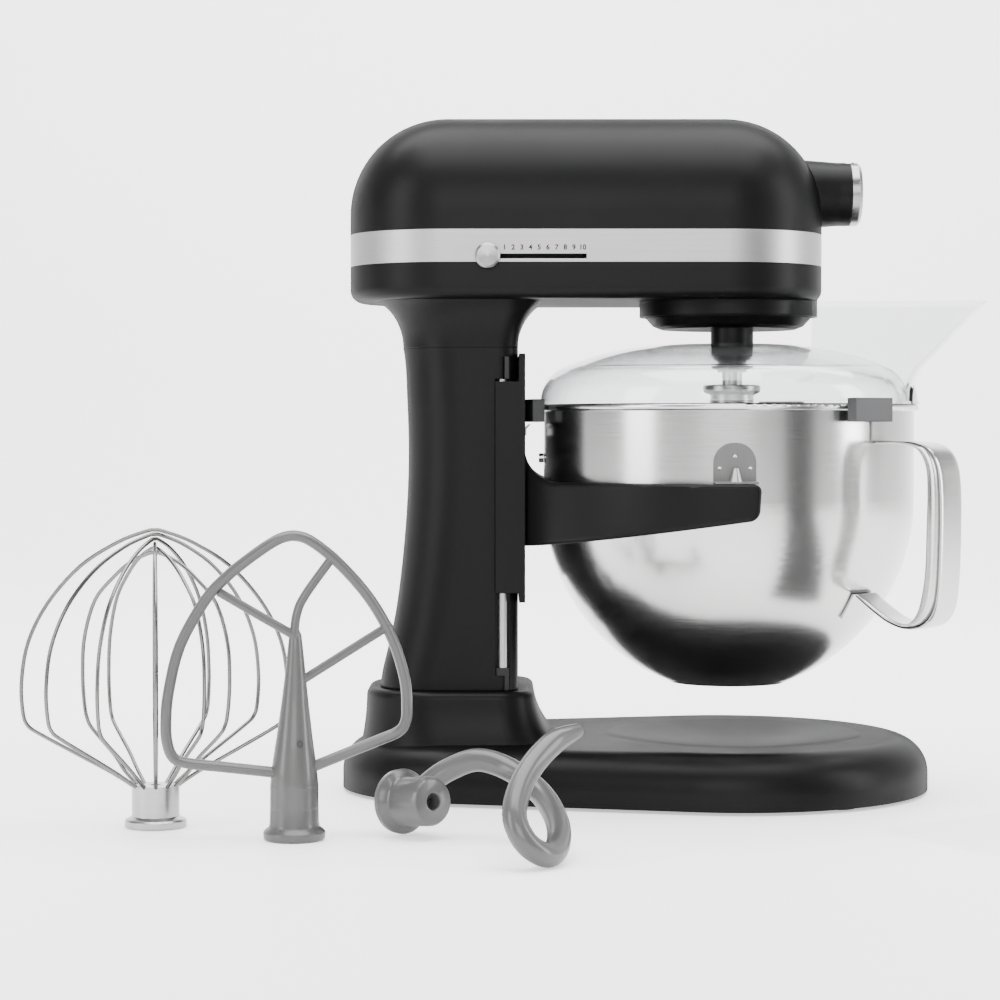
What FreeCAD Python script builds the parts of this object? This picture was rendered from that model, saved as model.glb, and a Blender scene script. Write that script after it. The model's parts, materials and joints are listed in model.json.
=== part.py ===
"""Bowl-lift stand mixer with its bowl, pouring shield and loose tools, in millimetres.

+X points to the front of the mixer, +Z up. The origin is on the table, under the axis
of the bowl and of the planetary drive.
"""
import FreeCAD, Part
import math
import os
import re

import Sketcher
from FreeCAD import Placement, Rotation, Vector

SIZES = {
    # base
    "disc_radius": 125, "tail_radius": 90, "tail_centre": 152, "base_top": 34.5,
    "base_gap": 2, "base_round": 22, "well_radius": 80, "well_depth": 8,
    "collar_top": 66, "foot_radius": 11, "foot_height": 3.5,
    # column and lift
    "column_front": 132.1, "column_half": 50, "column_top": 276, "column_wall": 4,
    "rail_radius": 3.2, "rail_centre": 141.5, "rail_offset": 45.5, "slot_low": 75.3,
    "slot_high": 256.5, "lift_travel": 37.5, "skirt_gap": 0.8, "skirt_wall": 3.2,
    "arm_inner": 119, "arm_outer": 137, "arm_top": 194, "pin_offset": 125, "pin_x": 6,
    "lever_axis_x": 158, "lever_axis_z": 215, "lever_length": 52,
    # head
    "head_back": 236.5, "head_front": 57.3, "head_half": 69, "head_corner": 62,
    "head_low": 305, "band_low": 326.7, "band_high": 346.4, "head_top": 418.8,
    "head_round": 60, "shell_wall": 3, "nose_radius": 55.6, "nose_low": 296,
    "hub_height": 373, "hub_radius": 19.75, "hub_root": 21.5, "hub_face": 75.6,
    "socket_radius": 15.5, "cap_thick": 6.4, "hinge_x": 76.9, "hinge_z": 391.3,
    # speed control
    "knob_x": 150.7, "knob_z": 330.4, "knob_radius": 7.6, "speed_slot_low": 328.6,
    "speed_slot_height": 3, "speed_slot_front": 91,
    # drive
    "orbit": 28, "disc_low": 288.3, "drip_radius": 51.5, "ring_module": 1.75,
    "ring_teeth": 44, "planet_teeth": 12, "crown_teeth": 36, "crown_radius": 36,
    "bevel_teeth": 12, "bevel_module": 2, "layshaft_teeth": 40, "motor_teeth": 12,
    "motor_module": 1.25, "motor_axis": 340.5, "shaft_radius": 6.35, "run_gap": 0.05,
    # bowl and shield
    "bowl_radius": 115.7, "bowl_wall": 1.2, "bowl_low": 67.3, "bowl_curve": 122.5,
    "bowl_waist": 182.5, "rim_radius": 116.3, "rim_height": 239.2, "bead": 2.2,
    "shield_wall": 1.8, "shield_flange": 241.5, "shield_opening": 50, "chute_half": 42,
    "chute_top": 304, "chute_turn": -6,
    # loose tools
    "hub_flange": 17.6, "hub_barrel": 13.5, "wire_radius": 1.15, "whisk_height": 168.9,
    "hook_rod": 6.5, "frame_rod": 4,
}

doc = FreeCAD.newDocument("StandMixer")
sheet = doc.addObject("Spreadsheet::Sheet", "Sizes")
for row, (alias, number) in enumerate(SIZES.items(), start=1):
    sheet.set(f"A{row}", alias)
    sheet.set(f"B{row}", str(number))
    sheet.setAlias(f"B{row}", alias)
doc.recompute()

PIECES = []
NAME = re.compile(r"[a-z][a-z_]+")
UP = Vector(0, 0, 1)
ALONG_X = Rotation(Vector(0, 1, 0), 90)
ALONG_Y = Rotation(Vector(1, 0, 0), -90)
UPRIGHT = Rotation()


# ---------------------------------------------------------------- helpers

def formula(text):
    """A formula with every size's name pointed at the sheet."""
    return NAME.sub(lambda m: f"Sizes.{m.group(0)}" if m.group(0) in SIZES else m.group(0), str(text))


def size(text):
    """The number that a size or a formula of sizes gives."""
    return float(sheet.evalExpression(formula(text)))


def keep(piece, label=None):
    """Put a finished piece on the list of nodes."""
    if label:
        piece.Label = label
    PIECES.append(piece)
    return piece


def arc_between(start, end, radius, turn):
    """The short arc from start to end: turn 1 goes anticlockwise, -1 clockwise."""
    chord = end - start
    across = Vector(-chord.y, chord.x, 0).normalize() * turn
    rise = math.sqrt(max(radius ** 2 - (chord.Length / 2) ** 2, 0))
    centre = (start + end) * 0.5 + across * rise
    first = math.atan2(start.y - centre.y, start.x - centre.x)
    last = math.atan2(end.y - centre.y, end.x - centre.x)
    if turn < 0:
        first, last = last, first
    return Part.ArcOfCircle(Part.Circle(centre, UP, radius), first, last)


def draw(body, plane, corners):
    """A closed sketch. A corner is (x, y), or (x, y, radius, turn) where an arc leaves it."""
    sketch = body.newObject("Sketcher::SketchObject", body.Name + "_sketch")
    origin = next(f for f in body.Origin.OriginFeatures if f.Role == plane)
    sketch.AttachmentSupport = [(origin, "")]
    sketch.MapMode = "FlatFace"
    spots = [Vector(size(c[0]), size(c[1]), 0) for c in corners]
    ends = []
    for i, corner in enumerate(corners):
        start = spots[i]
        end = spots[(i + 1) % len(spots)]
        if len(corner) == 2:
            edge = sketch.addGeometry(Part.LineSegment(start, end), False)
            ends.append((edge, 1, 2))
        else:
            edge = sketch.addGeometry(arc_between(start, end, size(corner[2]), corner[3]), False)
            ends.append((edge, 1, 2) if corner[3] > 0 else (edge, 2, 1))
    limits = []
    sources = []
    for i, corner in enumerate(corners):
        edge, first, last = ends[i]
        after = ends[(i + 1) % len(ends)]
        limits.append(Sketcher.Constraint("Coincident", edge, last, after[0], after[1]))
        sources.append(None)
        for kind, text, axis in (("DistanceX", corner[0], -2), ("DistanceY", corner[1], -1)):
            if abs(size(text)) < 1e-9:
                limits.append(Sketcher.Constraint("PointOnObject", edge, first, axis))
                sources.append(None)
            else:
                limits.append(Sketcher.Constraint(kind, -1, 1, edge, first, size(text)))
                sources.append(text)
        if len(corner) > 2:
            limits.append(Sketcher.Constraint("Radius", edge, size(corner[2])))
            sources.append(corner[2])
    sketch.addConstraint(limits)
    for i, text in enumerate(sources):
        if text is not None:
            sketch.setExpression(f"Constraints[{i}]", formula(text))
    return sketch


def turned(name, corners, spot=(0, 0, 0), turn=UPRIGHT, sweep=360):
    """A body turned about its own Z from an outline of (radius, height) corners."""
    body = doc.addObject("PartDesign::Body", name)
    sketch = draw(body, "XZ_Plane", corners)
    spin = body.newObject("PartDesign::Revolution", name + "_turning")
    spin.Profile = sketch
    spin.ReferenceAxis = (sketch, ["V_Axis"])
    spin.Angle = sweep
    body.Placement = Placement(Vector(*spot), turn)
    return body


def padded(name, corners, height, spot=(0, 0, 0), turn=UPRIGHT, plane="XY_Plane"):
    """A body padded from an outline in its own XY plane."""
    body = doc.addObject("PartDesign::Body", name)
    pad = body.newObject("PartDesign::Pad", name + "_pad")
    pad.Profile = draw(body, plane, corners)
    pad.setExpression("Length", formula(height))
    body.Placement = Placement(Vector(*spot), turn)
    return body


def rounded(body, edges_height, radius):
    """Fillet the edges of a body's tip that lie at one height of its own frame."""
    doc.recompute()
    base = body.Tip
    names = []
    for i, edge in enumerate(base.Shape.Edges, start=1):
        if all(abs(v.Z - size(edges_height)) < 1e-4 for v in edge.Vertexes):
            names.append(f"Edge{i}")
    fillet = body.newObject("PartDesign::Fillet", body.Name + "_fillet")
    fillet.Base = (base, names)
    fillet.setExpression("Radius", formula(radius))
    return fillet


def round_rect(back, front, half, back_corner, front_corner):
    """Corners of a rounded rectangle from x = -back to x = front, and to y = half each side."""
    return [
        (f"-({back}) + {back_corner}", f"-({half})"),
        (f"{front} - {front_corner}", f"-({half})", front_corner, 1),
        (front, f"-({half}) + {front_corner}"),
        (front, f"{half} - {front_corner}", front_corner, 1),
        (f"{front} - {front_corner}", half),
        (f"-({back}) + {back_corner}", half, back_corner, 1),
        (f"-({back})", f"{half} - {back_corner}"),
        (f"-({back})", f"-({half}) + {back_corner}", back_corner, 1),
    ]


def rod(name, radius, length, spot, turn=UPRIGHT):
    """A plain cylinder whose sizes follow the sheet."""
    piece = doc.addObject("Part::Cylinder", name)
    piece.setExpression("Radius", formula(radius))
    piece.setExpression("Height", formula(length))
    piece.Placement = Placement(Vector(*spot), turn)
    return piece


def block(name, low, high):
    """A box between two corners given as formulas."""
    piece = doc.addObject("Part::Box", name)
    for prop, a, b in zip(("Length", "Width", "Height"), low, high):
        piece.setExpression(prop, formula(f"({b}) - ({a})"))
    piece.Placement = Placement(Vector(*[size(a) for a in low]), Rotation())
    return piece


def cut(name, base, tool):
    """Base less tool."""
    piece = doc.addObject("Part::Cut", name)
    piece.Base = base
    piece.Tool = tool
    return piece


def fuse(name, pieces):
    """Several solids joined into one."""
    piece = doc.addObject("Part::MultiFuse", name)
    piece.Shapes = pieces
    return piece


def group(name, pieces):
    """Separate solids kept in one node."""
    piece = doc.addObject("Part::Compound", name)
    piece.Links = pieces
    return piece


def tube(name, outer, inner, length, spot, turn=UPRIGHT):
    """A plain bush or ring."""
    return cut(name, rod(name + "_outside", outer, length, spot, turn),
               rod(name + "_bore", inner, length, spot, turn))


def shaped(name, shape, spot=(0, 0, 0), turn=UPRIGHT):
    """A piece whose shape neither sketches nor primitives fit."""
    piece = doc.addObject("Part::Feature", name)
    piece.Shape = shape
    piece.Placement = Placement(Vector(*spot), turn)
    return piece


def ring_wire(back, front, half, back_corner, front_corner, height):
    """A rounded rectangle as a wire at one height, for lofts."""
    x0, x1, y1 = -back, front, half
    rb, rf = back_corner, front_corner
    runs = [
        ((x0 + rb, -y1), (x1 - rf, -y1), (x1 - rf, -y1 + rf), rf, -90),
        ((x1, -y1 + rf), (x1, y1 - rf), (x1 - rf, y1 - rf), rf, 0),
        ((x1 - rf, y1), (x0 + rb, y1), (x0 + rb, y1 - rb), rb, 90),
        ((x0, y1 - rb), (x0, -y1 + rb), (x0 + rb, -y1 + rb), rb, 180),
    ]
    edges = []
    for a, b, c, r, first in runs:
        edges.append(Part.LineSegment(Vector(*a, height), Vector(*b, height)).toShape())
        edges.append(Part.makeCircle(r, Vector(*c, height), UP, first, first + 90))
    return Part.Wire(edges)


def bent_path(points):
    """Straight runs joined by tangent arcs, each as large as its two runs allow."""
    spots = [Vector(*p) for p in points]
    edges = []
    last = spots[0]
    for before, corner, after in zip(spots, spots[1:], spots[2:]):
        come = (corner - before).normalize()
        leave = (after - corner).normalize()
        turn = come.getAngle(leave)
        reach = 0.45 * min((corner - before).Length, (after - corner).Length)
        radius = reach / math.tan(turn / 2)
        start = corner - come * reach
        end = corner + leave * reach
        inward = (leave - come).normalize()
        middle = corner + inward * (radius / math.cos(turn / 2) - radius)
        edges.append(Part.LineSegment(last, start).toShape())
        edges.append(Part.Arc(start, middle, end).toShape())
        last = end
    edges.append(Part.LineSegment(last, spots[-1]).toShape())
    return Part.Wire(edges)


def bent_rod(points, radius):
    """A round bar along a bent path."""
    path = bent_path(points)
    ahead = Vector(*points[1]) - Vector(*points[0])
    section = Part.Wire([Part.makeCircle(radius, Vector(*points[0]), ahead)])
    return path.makePipeShell([section], True, False)


def gear_corners(teeth, module, tip, root, slack, pressure=25):
    """Corners of a straight-cut gear, with one tooth centred on its local X axis.

    tip and root are tooth heights in modules above and below the pitch circle, and slack
    is what each tooth is thinned by.
    """
    pitch = teeth * module / 2
    base = pitch * math.cos(math.radians(pressure))
    inner = pitch - root * module
    outer = pitch + tip * module
    lean = math.tan(math.radians(pressure)) - math.radians(pressure)
    half = math.pi / (2 * teeth) - slack / (2 * pitch) + lean
    flank = [(inner, half + 0.0)]
    steps = 4
    low = max(base, inner)
    for i in range(steps + 1):
        radius = low + (outer - low) * i / steps
        roll = math.acos(base / radius)
        flank.append((radius, half - (math.tan(roll) - roll)))
    corners = []
    for tooth in range(teeth):
        centre = 2 * math.pi * tooth / teeth
        for radius, angle in flank:
            corners.append((radius, centre - angle))
        for radius, angle in reversed(flank):
            corners.append((radius, centre + angle))
    return [Vector(r * math.cos(a), r * math.sin(a), 0) for r, a in corners]


def gear(name, teeth, module, width, bore, spot, turn, tip=0.8, root=1.15, slack=0.3):
    """A spur gear with a plain bore."""
    corners = gear_corners(teeth, module, tip, root, slack)
    disc = Part.Face(Part.makePolygon(corners + corners[:1])).extrude(UP * width)
    return shaped(name, disc.cut(Part.makeCylinder(bore, width)), spot, turn)


def loft_ring(sections):
    """A smooth solid through rounded rectangles."""
    return Part.makeLoft([ring_wire(*s) for s in sections], True, False)


# ---------------------------------------------------------------- base

FOOT_SPOTS = [(0, 0), (58, 88), (58, -88), (-185, 58), (-185, -58)]


def make_base():
    """Cast base: a plate with a shallow well, and the flared foot of the column."""
    disc = size("disc_radius")
    tail = size("tail_radius")
    far = size("tail_centre")
    low = size("base_gap")
    lean = math.asin((disc - tail) / far)
    across = Vector(math.sin(-lean), math.cos(lean), 0)
    front = [Vector(across.x * disc, side * across.y * disc, low) for side in (-1, 1)]
    back = [Vector(-far + across.x * tail, side * across.y * tail, low) for side in (-1, 1)]
    outline = Part.Wire([
        Part.Arc(front[0], Vector(disc, 0, low), front[1]).toShape(),
        Part.LineSegment(front[1], back[1]).toShape(),
        Part.Arc(back[1], Vector(-far - tail, 0, low), back[0]).toShape(),
        Part.LineSegment(back[0], front[0]).toShape(),
    ])
    plate = Part.Face(outline).extrude(UP * (size("base_top") - low))
    rim = [e for e in plate.Edges if all(abs(v.Z - size("base_top")) < 1e-4 for v in e.Vertexes)]
    plate = plate.makeFillet(size("base_round"), rim)
    sections = []
    top = size("collar_top")
    for step in range(6):
        angle = math.radians(16 * step)
        spread = 1 - math.cos(angle)
        height = top - 46 * math.sin(angle)
        sections.append((226.2 + 11 * spread, -122 + 48 * spread, 58.5 + 22 * spread, 44 + 38 * spread,
                         22 + 30 * spread, height))
    flare = loft_ring(sections[::-1])
    crest = [e for e in flare.Edges if all(abs(v.Z - top) < 1e-3 for v in e.Vertexes)]
    flare = flare.makeFillet(5, crest)
    well = size("well_radius")
    depth = size("well_depth")
    ball = (well ** 2 + depth ** 2) / (2 * depth)
    dish = Part.makeSphere(ball, Vector(4, 0, size("base_top") - depth + ball))
    inside = loft_ring([(214, -134, 44, 30, 8, 8), (214, -134, 44, 30, 8, top + 1)])
    under = Part.makeCylinder(96, 14, Vector(0, 0, 0))
    casting = plate.cut(dish).fuse(flare).cut(inside).cut(under)
    for x, y in FOOT_SPOTS:
        casting = casting.cut(Part.makeCylinder(size("foot_radius"), size("foot_height"), Vector(x, y, 0)))
    return keep(shaped("base_casting", casting.removeSplitter()))


def make_feet():
    """Five rubber feet, one under the middle of the disc."""
    feet = [rod(f"foot_{i}", "foot_radius", "foot_height", (x, y, 0)) for i, (x, y) in enumerate(FOOT_SPOTS)]
    return keep(group("rubber_feet", feet))


def make_underplate():
    """Steel plate that closes the underside and carries the feet."""
    plate = rod("plate_disc", 95.5, 2, (0, 0, size("foot_height")))
    return keep(plate, "bottom_plate")


# ---------------------------------------------------------------- column

COLUMN_BACKS = [(66, 217.8), (86, 214.1), (105, 209.7), (134.6, 205.2), (156.6, 202.9),
                (222.5, 200.3), (250.7, 201.3), (276, 203.4)]


SEAT_LEVELS = [(66.2, 13.8), (256.5, 13.8)]


def make_column():
    """Hollow column with a rail slot in each side and a slot for the lift tongue."""
    front = -size("column_front")
    half = size("column_half")
    wall = size("column_wall")
    outer = loft_ring([(back, front, half, 36, 12, z) for z, back in COLUMN_BACKS])
    inner = loft_ring([(back - wall, front - wall, half - wall, 32, 8, z) for z, back in COLUMN_BACKS])
    shell = outer.cut(inner)
    low, high = size("slot_low"), size("slot_high")
    for side in (-1, 1):
        slot = Part.makeBox(8.6, 30, high - low, Vector(-146, -15, low))
        slot.translate(Vector(0, side * 52, 0))
        shell = shell.cut(slot)
        for z, tall in SEAT_LEVELS:
            pocket = Part.makeBox(7.8, 7.8, tall, Vector(-145.4, side * size("rail_offset") - 3.9, z))
            shell = shell.cut(pocket)
    tongue_slot = Part.makeBox(20, 16, 49, Vector(-145, -8, 201))
    lever_hole = Part.makeCylinder(size("shaft_radius") + size("run_gap"), 30,
                                   Vector(-size("lever_axis_x"), 35, size("lever_axis_z")), Vector(0, 1, 0))
    return keep(shaped("column_housing", shell.cut(tongue_slot).cut(lever_hole)))


def make_rails():
    """Two steel rails that the yoke slides on, and the blocks that hold their ends."""
    rails = []
    seats = []
    for side, word in ((-1, "left"), (1, "right")):
        y = side * size("rail_offset")
        x = -size("rail_centre")
        rails.append(rod(f"rail_{word}", "rail_radius", 190, (x, y, 78)))
        for place, (z, tall) in zip(("foot", "head"), SEAT_LEVELS):
            seat = block(f"seat_{place}_{word}", ("-145.4", y - 3.9, z), ("-137.6", y + 3.9, z + tall))
            bore = rod(f"seat_bore_{place}_{word}", "rail_radius", 190, (x, y, 78))
            seats.append(cut(f"rail_seat_{place}_{word}", seat, bore))
    keep(group("guide_rails", rails))
    keep(group("rail_seats", seats))
    liners = []
    for side, word in ((-1, "left"), (1, "right")):
        y0, y1 = sorted((side * 39, side * 40.4))
        liners.append(block(f"liner_{word}", (-147.2, y0, "slot_low - 3"), (-136.5, y1, "slot_high + 5")))
    keep(group("slot_liners", liners))


# ---------------------------------------------------------------- yoke

def make_yoke():
    """Yoke: front plate, side skirts, and two arms that reach round the bowl."""
    gap = size("skirt_gap")
    half = size("column_half")
    wall = size("skirt_wall")
    front = -size("column_front")
    outer = half + gap + wall
    plate = Part.makeBox(3.8, 2 * outer, 151.7, Vector(front + 0.5, -outer, 120.3))
    skirts = []
    for side in (-1, 1):
        skirt = Part.makeBox(18.2, wall, 129, Vector(-146, -wall / 2, 126))
        skirt.translate(Vector(0, side * (half + gap + wall / 2), 0))
        skirts.append(skirt)
    top = size("arm_top")
    back = front + 2
    spots = [Vector(back, 0, 154), Vector(1.5, 0, 172.4), Vector(7.4, 0, 179), Vector(8, 0, 189),
             Vector(3.5, 0, top), Vector(-106, 0, top), Vector(-121, 0, 201), Vector(-127.8, 0, 217),
             Vector(back, 0, 222)]
    side_view = Part.Wire([
        Part.LineSegment(spots[0], spots[1]).toShape(),
        Part.Arc(spots[1], Vector(5.8, 0, 174.8), spots[2]).toShape(),
        Part.LineSegment(spots[2], spots[3]).toShape(),
        Part.Arc(spots[3], Vector(7, 0, 192.6), spots[4]).toShape(),
        Part.LineSegment(spots[4], spots[5]).toShape(),
        Part.Arc(spots[5], Vector(-118.6, 0, 197.4), spots[7]).toShape(),
        Part.LineSegment(spots[7], spots[8]).toShape(),
        Part.LineSegment(spots[8], spots[0]).toShape(),
    ])
    slab = Part.Face(side_view).extrude(Vector(0, 300, 0))
    slab.translate(Vector(0, -150, 0))
    inner, reach = size("arm_inner"), size("arm_outer")
    sweep = Part.makeCylinder(reach, 300).cut(Part.makeCylinder(inner, 300))
    arms = slab.common(sweep)
    tongue = Part.makeBox(60, 12, 6, Vector(-190, -6, 241))
    tongue = tongue.fuse(Part.makeBox(22, 33, 6, Vector(-190, -6, 241)))
    yoke = plate.fuse(skirts + [arms]).removeSplitter()
    soft = [e for e in yoke.Edges if e.BoundBox.ZMin > 172 and e.BoundBox.ZMax < top + 0.1
            and e.BoundBox.XMax > 1 and e.Length > 5]
    try:
        yoke = yoke.makeFillet(2.5, soft)
    except Exception:
        print("yoke arms left with plain edges")
    yoke = yoke.fuse(tongue)
    for side in (-1, 1):
        yoke = yoke.cut(Part.makeCylinder(2.5, 12, Vector(-size("pin_x"), side * size("pin_offset"), top - 10)))
    return keep(shaped("bowl_yoke", yoke.removeSplitter()))


def make_yoke_fittings():
    """Locating pins on the arms, bushes on the rails, and the bowl's rear spring clip."""
    pins = []
    for side in (-1, 1):
        corners = [("0", "-8"), ("2.5", "-8"), ("2.5", "0"), ("4", "0"), ("1.6", "9.2"), ("0", "9.6")]
        pins.append(turned(f"pin_{side + 2}", corners, (-size("pin_x"), side * size("pin_offset"), size("arm_top"))))
    keep(group("locating_pins", pins))
    bushes = []
    for i, (side, z) in enumerate([(-1, 128), (1, 128), (-1, 240), (1, 240)]):
        y = side * size("rail_offset")
        ring = rod(f"bush_ring_{i}", 4, 10, (-size("rail_centre"), y, z))
        near = min(y, side * (size("column_half") + size("skirt_gap")))
        far = max(y, side * (size("column_half") + size("skirt_gap")))
        tab = block(f"bush_tab_{i}", ("-144.5", near, z), ("-138.5", far, z + 10))
        bore = rod(f"bush_bore_{i}", "rail_radius + run_gap", 10, (-size("rail_centre"), y, z))
        bushes.append(cut(f"bush_{i}", fuse(f"bush_body_{i}", [ring, tab]), bore))
    keep(group("slide_bushes", bushes))
    clip = padded("spring_clip", [("0", "0"), ("1.2", "0"), ("1.2", "4"), ("3.6", "6.4"), ("3", "7.2"),
                                  ("0", "4.9")], 20, (-127.8, 10, 222.1), Rotation(Vector(1, 0, 0), 90))
    keep(clip)


def make_lever():
    """Lift lever on the far side of the column, its shaft and the crank inside."""
    x, z = -size("lever_axis_x"), size("lever_axis_z")
    arm = padded("lever_arm", round_rect(8, "lever_length", 7, 6.9, 6.9), 5,
                 (x, 61, z), Rotation(Vector(1, 0, 0), 90) * Rotation(UP, 90))
    grip = turned("lever_grip", [("0", "0"), ("8", "0"), ("9.5", "3"), ("9.5", "9"), ("7", "12"), ("0", "12")],
                  (x, 61, z + size("lever_length") - 8), ALONG_Y)
    keep(fuse("lift_lever", [arm, grip]))
    keep(rod("lever_shaft", "shaft_radius", 23, (x, 33, z), ALONG_Y))
    crank = padded("crank_arm", round_rect(8, 30, 6, 5.9, 5.9), 5,
                   (x, 33, z), Rotation(Vector(1, 0, 0), 90) * Rotation(UP, 134))
    turn = math.radians(134)
    roller = rod("crank_roller", 5, 12, (x + 26 * math.cos(turn), 17, z + 26 * math.sin(turn)), ALONG_Y)
    keep(fuse("lever_crank", [crank, roller]))


# ---------------------------------------------------------------- head

def make_head():
    """Upper cover with the nose of the power hub, and the lower gear housing with its neck."""
    shell = ("head_back", "head_front", "head_half", "head_corner", "head_corner")
    hollow = [f"{s} - shell_wall" for s in shell]
    outside = padded("cover_outside", round_rect(*shell), "head_top - band_high", (0, 0, size("band_high")))
    rounded(outside, "head_top - band_high", "head_round")
    inside = padded("cover_inside", round_rect(*hollow), "head_top - band_high - shell_wall",
                    (0, 0, size("band_high")))
    rounded(inside, "head_top - band_high - shell_wall", "head_round - shell_wall")
    snout = turned("hub_snout", [("0", "30"), ("hub_root", "30"), ("hub_root", "46"), ("hub_radius", "68"),
                                 ("hub_radius", "hub_face"), ("0", "hub_face")],
                   (0, 0, size("hub_height")), ALONG_X)
    hinge = (size("hinge_x"), size("hinge_z"))
    lugs = [rod(f"hub_lug_{i}", 1.3, 2.8, (hinge[0], y, hinge[1]), ALONG_Y) for i, y in enumerate((-6, 3.2))]
    webs = [block(f"hub_web_{i}", ("hub_face - 1", y, "hinge_z - 1.3"), ("hinge_x", y + 2.8, "hinge_z + 0.6"))
            for i, y in enumerate((-6, 3.2))]
    pin_bore = rod("hub_pin_bore", 0.8, 14, (hinge[0], -7, hinge[1]), ALONG_Y)
    notch = block("hub_notch", ("hub_face - 2.6", -3.2, "hinge_z - 2"), ("hub_face + 1", 3.2, "hinge_z + 4"))
    relief = block("hub_relief", ("hub_face - 2.6", -11, "hinge_z + 0.6"), ("hub_face + 1", 11, "hinge_z + 4"))
    bore = rod("hub_bore", 18, 60, (28, 0, size("hub_height")), ALONG_X)
    screw_hole = rod("hub_screw_hole", 3.05, 20, (62, 10, size("hub_height")), ALONG_Y)
    room = fuse("cover_room", [inside, bore, screw_hole, pin_bore, notch, relief])
    keep(cut("head_cover", fuse("cover_body", [outside, snout] + lugs + webs), room))

    band_out = padded("band_outside", round_rect(*shell), "band_high - band_low", (0, 0, size("band_low")))
    band_in = padded("band_inside", round_rect(*hollow), "band_high - band_low", (0, 0, size("band_low")))
    slot = block("speed_slot", ("-156", "-head_half - 2", "speed_slot_low"),
                 ("-speed_slot_front", "-head_half + 8", "speed_slot_low + speed_slot_height"))
    keep(cut("trim_band", band_out, fuse("band_room", [band_in, slot])))

    keep(shaped("gear_housing", gear_housing_shape()))


def gear_housing_shape():
    """Lower half of the head: flat floor, round planetary skirt, and a neck that flares out."""
    low, high = size("head_low"), size("band_low")
    back, front, half = size("head_back"), size("head_front"), size("head_half")
    corner, wall = size("head_corner"), size("shell_wall")
    body = Part.Face(ring_wire(back, front, half, corner, corner, low)).extrude(UP * (high - low))
    edge = [e for e in body.Edges if all(abs(v.Z - low) < 1e-4 for v in e.Vertexes)]
    body = body.makeFillet(7, edge)
    top = size("column_top")
    column = (203.4, -size("column_front"), size("column_half"))
    sections = []
    for step in range(7):
        angle = math.radians(14 * step)
        spread = 1 - math.cos(angle)
        height = top + 33 * math.sin(angle)
        sections.append((column[0] + 29 * spread, column[1] + 28 * spread, column[2] + 15 * spread,
                         36 + 20 * spread, 12 + 20 * spread, height))
    neck = loft_ring(sections)
    nose = Part.makeCylinder(size("nose_radius"), high - size("nose_low"), Vector(0, 0, size("nose_low")))
    outside = body.fuse([neck, nose])
    room = Part.Face(ring_wire(back - wall, front - wall, half - wall, corner - wall, corner - wall,
                               low + wall)).extrude(UP * (high - low))
    shaft_room = loft_ring([(column[0] - 4, column[1] - 4, column[2] - 4, 32, 8, z) for z in (top, low + wall)])
    skirt = Part.makeCylinder(52.3, 5, Vector(0, 0, size("nose_low")))
    gear_seat = Part.makeCylinder(46, 30, Vector(0, 0, size("nose_low")))
    shape = outside.cut(room).cut(shaft_room).cut(skirt).cut(gear_seat)
    posts = [Part.makeCylinder(5, 18.4, Vector(x, y, low + 1)) for x, y in FRAME_SCREWS]
    return shape.fuse(posts).removeSplitter()


FRAME_SCREWS = [(-76, -38), (-76, 38), (10, -52), (10, 52)]


def make_frame():
    """Cast frame that carries every gear shaft, and its screws and bushes."""
    plate = Part.Face(ring_wire(84, 50, 56, 8, 44, 324.6)).extrude(UP * 5)
    boss = Part.makeCylinder(17, 26, Vector(0, 0, 314))
    uprights = [
        Part.makeBox(6, 34, 66, Vector(-50.5, -17, 324.6)),
        Part.makeBox(6, 40, 62, Vector(-82, -20, 324.6)),
        Part.makeBox(5, 30, 55, Vector(44.5, -15, 324.6)),
    ]
    frame = plate.fuse([boss] + uprights)
    high = size("hub_height")
    frame = frame.cut(Part.makeCylinder(11, 40, Vector(0, 0, 310)))
    frame = frame.cut(Part.makeCylinder(9, 60, Vector(-90, 0, high), Vector(1, 0, 0)))
    frame = frame.cut(Part.makeCylinder(9, 10, Vector(42, 0, high), Vector(1, 0, 0)))
    frame = frame.cut(Part.makeCylinder(10, 40, Vector(-84, 0, size("motor_axis")), Vector(1, 0, 0)))
    clear = Part.makeBox(26, 60, 60, Vector(-75.5, -30, 323))
    frame = frame.cut(clear)
    for x, y in FRAME_SCREWS:
        frame = frame.cut(Part.makeCylinder(2, 20, Vector(x, y, 320)))
    keep(shaped("gear_frame", frame.removeSplitter()))
    screws = []
    for i, (x, y) in enumerate(FRAME_SCREWS):
        corners = [("0", "0"), ("1.95", "0"), ("1.95", "5"), ("3.8", "5.1"), ("3.8", "8"), ("0", "8")]
        screws.append(turned(f"frame_screw_{i}", corners, (x, y, 324.6)))
    keep(group("frame_screws", screws))
    bushes = [
        tube("bush_drive", 11, "8 + run_gap", 25, (0, 0, 314.5)),
        tube("bush_lay_front", 9, "5 + run_gap", 6, (-50.5, 0, high), ALONG_X),
        tube("bush_lay_back", 9, "5 + run_gap", 6, (-82, 0, high), ALONG_X),
        tube("bush_hub", 9, "5 + run_gap", 5, (44.5, 0, high), ALONG_X),
    ]
    keep(group("shaft_bushes", bushes))


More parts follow.
